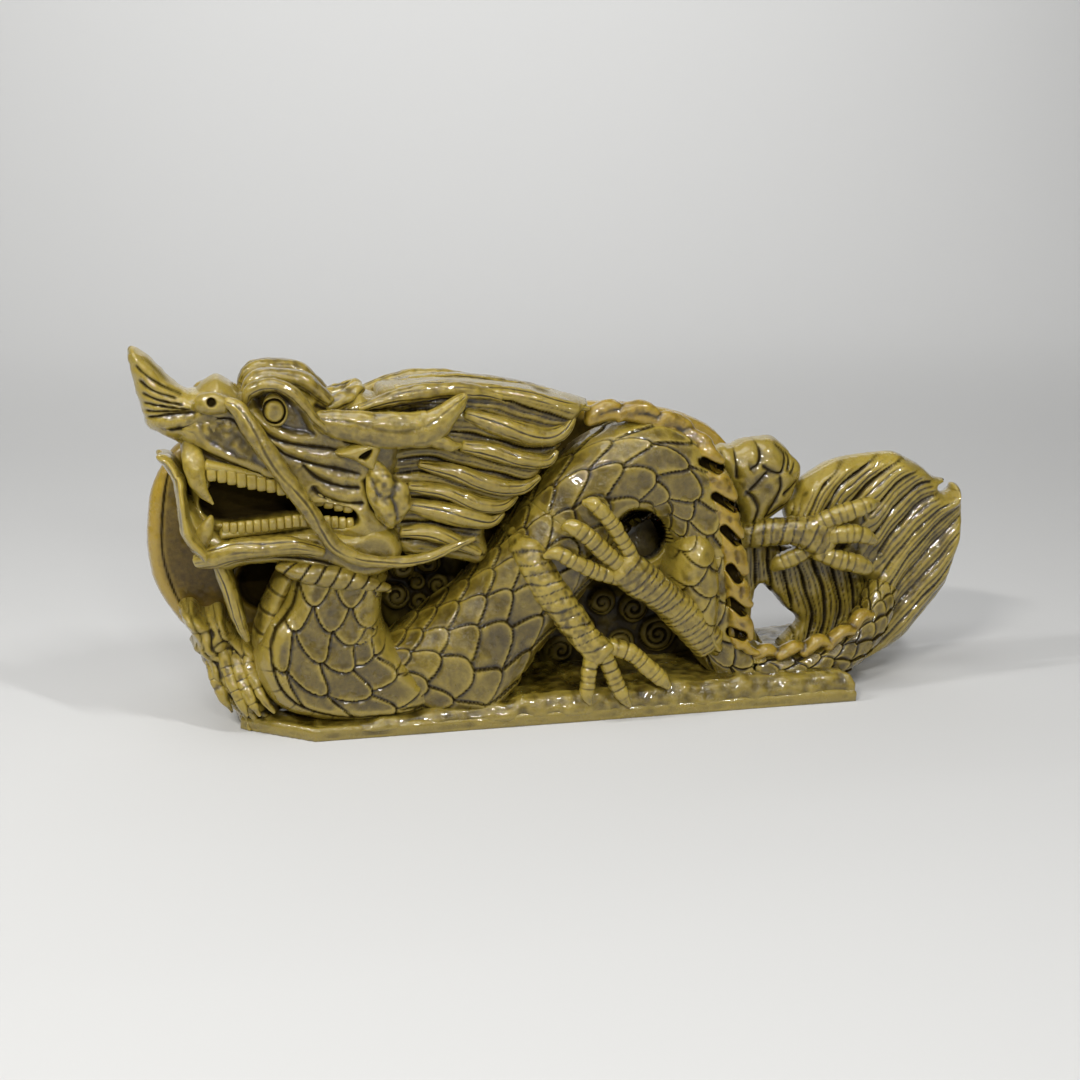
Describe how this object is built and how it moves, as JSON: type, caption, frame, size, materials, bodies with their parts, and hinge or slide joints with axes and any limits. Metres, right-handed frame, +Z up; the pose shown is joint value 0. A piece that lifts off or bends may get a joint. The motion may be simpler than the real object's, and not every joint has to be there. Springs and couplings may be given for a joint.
{
  "type": "dragon figurine",
  "caption": "Carved olive jade dragon on a rock plinth: open-mouthed head, flowing mane, scaled looping body with back fins, clawed legs and a fanned tail against a domed back shell",
  "frame": {"origin": "centre of the plinth's flat underside, on the surface that the figurine stands on", "axes": "+X from the snout to the tail fan, -Y toward the viewer of the carved front, +Z up"},
  "size_m": [0.2815, 0.0609, 0.123],
  "materials": {
    "jade_body": "polished",
    "jade_ridge": "polished",
    "jade_thin": "polished",
    "jade_base": "polished"
  },
  "bodies": {
    "root": {"plinth": "jade_base", "rock": "jade_base", "back_shell": "jade_thin", "side_leaf": "jade_thin", "cloud_scrolls": "jade_body", "shore_waves": "jade_ridge", "neck_coil": "jade_body", "chest": "jade_body", "back_arch": "jade_body", "rump": "jade_body", "tail": "jade_body", "belly_band": "jade_ridge", "arch_fins": "jade_thin", "tail_fins": "jade_thin", "skull": "jade_body", "snout_tip": "jade_ridge", "nostrils": "jade_body", "eyes": "jade_ridge", "brow_ridges": "jade_body", "crown_crest": "jade_ridge", "cheek_tufts": "jade_body", "ears": "jade_ridge", "horns": "jade_ridge", "horn_tines": "jade_ridge", "lower_jaw": "jade_body", "chin_flame": "jade_ridge", "upper_teeth": "jade_ridge", "lower_teeth": "jade_ridge", "fangs": "jade_ridge", "whiskers": "jade_ridge", "beard": "jade_ridge", "mane_core": "jade_body", "mane_locks": "jade_ridge", "foreleg": "jade_ridge", "fore_paw": "jade_ridge", "hind_thigh": "jade_body", "hind_shank": "jade_ridge", "hind_paw": "jade_ridge", "far_thigh": "jade_body", "far_shank": "jade_ridge", "far_hind_paw": "jade_ridge", "far_fore_paw": "jade_ridge", "tail_fan": "jade_ridge", "tail_hair": "jade_body"}
  },
  "joints": []
}
